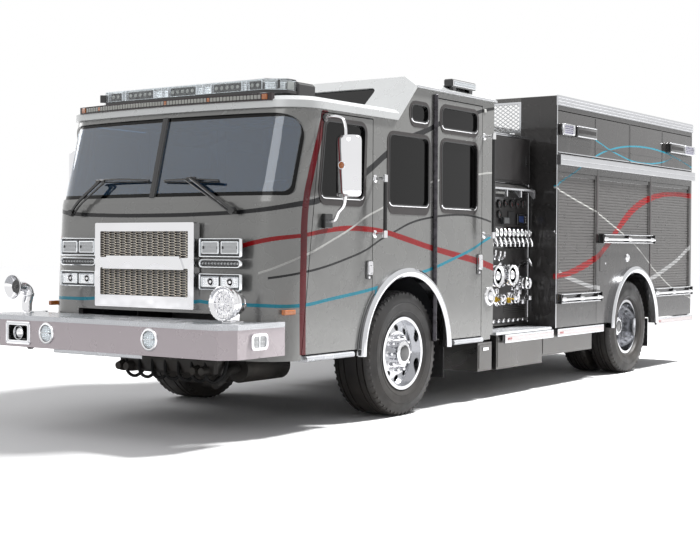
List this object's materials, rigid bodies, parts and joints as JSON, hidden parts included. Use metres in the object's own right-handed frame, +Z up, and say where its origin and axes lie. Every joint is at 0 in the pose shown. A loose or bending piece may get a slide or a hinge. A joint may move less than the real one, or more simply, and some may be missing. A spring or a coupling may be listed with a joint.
{
  "type": "fire engine",
  "caption": "Pumper fire engine with a tilting four-door cab, side pump panels and a body of shuttered equipment compartments with top-hinged upper doors.",
  "frame": {"origin": "on the ground under the middle of the overall box", "axes": "+X the vehicle's left, +Y its rear, +Z up"},
  "size_m": [3.11, 8.924, 2.946],
  "materials": {
    "cab_paint": "metallic grey paint, clear coated",
    "roof_paint": "metallic light silver paint, clear coated",
    "body_paint": "metallic dark bronze grey paint, clear coated",
    "bumper_paint": "metallic grey paint, clear coated",
    "chassis_black": "black chassis paint, satin",
    "chrome": "mirror polished",
    "polished_alloy": "polished",
    "treadplate": "bright raised tread pattern",
    "shutter_alloy": "satin grey slats",
    "cast_grey": "painted casting",
    "black_rail": "black ribbed tube",
    "glass": "tinted safety glass",
    "dark_glass": "dark tinted safety glass",
    "lamp_lens": "clear and coloured lamp lenses",
    "tyre": "black tyre rubber",
    "rubber": "black sheet rubber",
    "interior": "dark moulded trim",
    "seat_fabric": "dark heavy-duty seat cloth",
    "stainless": "brushed stainless steel"
  },
  "bodies": {
    "chassis": {"chassis_frame": "chassis_black", "engine_block": "cast_grey", "front_axle": "chassis_black", "rear_axle": "chassis_black", "front_bumper": "bumper_paint", "treadplate": "treadplate", "bumper_fittings": "chrome", "pump_module": "stainless", "pump_fittings": "chrome", "body_side_left": "body_paint", "body_side_right": "body_paint", "hose_bed": "stainless", "shutters": "shutter_alloy", "lift_bars": "chrome", "body_trim": "polished_alloy", "tail_lamps": "lamp_lens", "under_boxes": "stainless", "mud_flaps": "rubber"},
    "cab": {"cab_floor": "interior", "cab_front": "cab_paint", "cab_side_left": "cab_paint", "cab_side_right": "cab_paint", "cab_rear_wall": "cab_paint", "cab_roof": "roof_paint", "cab_glass": "glass", "cab_interior": "interior", "seats": "seat_fabric", "grille": "chrome", "headlamp_bezels": "chrome", "roof_equipment": "lamp_lens", "grab_rails": "black_rail", "cab_steps": "treadplate", "front_arches": "polished_alloy"},
    "front_door_left": {"front_door_left": "cab_paint", "front_door_left_glass": "glass", "front_door_left_fittings": "chrome"},
    "rear_door_left": {"rear_door_left": "cab_paint", "rear_door_left_glass": "dark_glass", "rear_door_left_handle": "chrome"},
    "hatch_front_left": {"hatch_front_left": "body_paint"},
    "hatch_rear_left": {"hatch_rear_left": "body_paint"},
    "knuckle_left": {"knuckle_left": "cast_grey"},
    "front_wheel_left": {"front_wheel_left": "polished_alloy", "front_tyre_left": "tyre"},
    "rear_wheel_left": {"rear_wheel_left": "polished_alloy", "rear_tyre_left": "tyre"},
    "front_door_right": {"front_door_right": "cab_paint", "front_door_right_glass": "glass", "front_door_right_fittings": "chrome"},
    "rear_door_right": {"rear_door_right": "cab_paint", "rear_door_right_glass": "dark_glass", "rear_door_right_handle": "chrome"},
    "hatch_front_right": {"hatch_front_right": "body_paint"},
    "hatch_rear_right": {"hatch_rear_right": "body_paint"},
    "knuckle_right": {"knuckle_right": "cast_grey"},
    "front_wheel_right": {"front_wheel_right": "polished_alloy", "front_tyre_right": "tyre"},
    "rear_wheel_right": {"rear_wheel_right": "polished_alloy", "rear_tyre_right": "tyre"}
  },
  "joints": [
    {"name": "cab_tilt", "type": "hinge", "parent": "chassis", "child": "cab", "pos_m": [0, -3.8, 1], "axis": [1, 0, 0], "range_deg": [0, 40]},
    {"name": "front_door_left_hinge", "type": "hinge", "parent": "cab", "child": "front_door_left", "pos_m": [1.256, -3.571, 1.2], "axis": [0, 0, -1], "range_deg": [0, 75]},
    {"name": "rear_door_left_hinge", "type": "hinge", "parent": "cab", "child": "rear_door_left", "pos_m": [1.256, -1.695, 1.5], "axis": [0, 0, -1], "range_deg": [0, 80]},
    {"name": "steer_left", "type": "hinge", "parent": "chassis", "child": "knuckle_left", "pos_m": [0.8, -2.14, 0.5], "axis": [0, 0, 1], "range_deg": [-38, 38]},
    {"name": "front_wheel_left_spin", "type": "hinge", "parent": "knuckle_left", "child": "front_wheel_left", "pos_m": [1.05, -2.14, 0.522], "axis": [1, 0, 0], "continuous": true},
    {"name": "rear_wheel_left_spin", "type": "hinge", "parent": "chassis", "child": "rear_wheel_left", "pos_m": [0.92, 2.58, 0.522], "axis": [1, 0, 0], "continuous": true},
    {"name": "hatch_front_left_hinge", "type": "hinge", "parent": "chassis", "child": "hatch_front_left", "pos_m": [1.277, 1.55, 2.79], "axis": [0, -1, 0], "range_deg": [0, 90]},
    {"name": "hatch_rear_left_hinge", "type": "hinge", "parent": "chassis", "child": "hatch_rear_left", "pos_m": [1.277, 3.43, 2.79], "axis": [0, -1, 0], "range_deg": [0, 90]},
    {"name": "front_door_right_hinge", "type": "hinge", "parent": "cab", "child": "front_door_right", "pos_m": [-1.256, -3.571, 1.2], "axis": [0, 0, 1], "range_deg": [0, 75]},
    {"name": "rear_door_right_hinge", "type": "hinge", "parent": "cab", "child": "rear_door_right", "pos_m": [-1.256, -1.695, 1.5], "axis": [0, 0, 1], "range_deg": [0, 80]},
    {"name": "steer_right", "type": "hinge", "parent": "chassis", "child": "knuckle_right", "pos_m": [-0.8, -2.14, 0.5], "axis": [0, 0, 1], "range_deg": [-38, 38]},
    {"name": "front_wheel_right_spin", "type": "hinge", "parent": "knuckle_right", "child": "front_wheel_right", "pos_m": [-1.05, -2.14, 0.522], "axis": [1, 0, 0], "continuous": true},
    {"name": "rear_wheel_right_spin", "type": "hinge", "parent": "chassis", "child": "rear_wheel_right", "pos_m": [-0.92, 2.58, 0.522], "axis": [1, 0, 0], "continuous": true},
    {"name": "hatch_front_right_hinge", "type": "hinge", "parent": "chassis", "child": "hatch_front_right", "pos_m": [-1.277, 1.55, 2.79], "axis": [0, 1, 0], "range_deg": [0, 90]},
    {"name": "hatch_rear_right_hinge", "type": "hinge", "parent": "chassis", "child": "hatch_rear_right", "pos_m": [-1.277, 3.43, 2.79], "axis": [0, 1, 0], "range_deg": [0, 90]}
  ],
  "couplings": [
    {"joint": "steer_right", "follows": "steer_left", "ratio": 1}
  ]
}
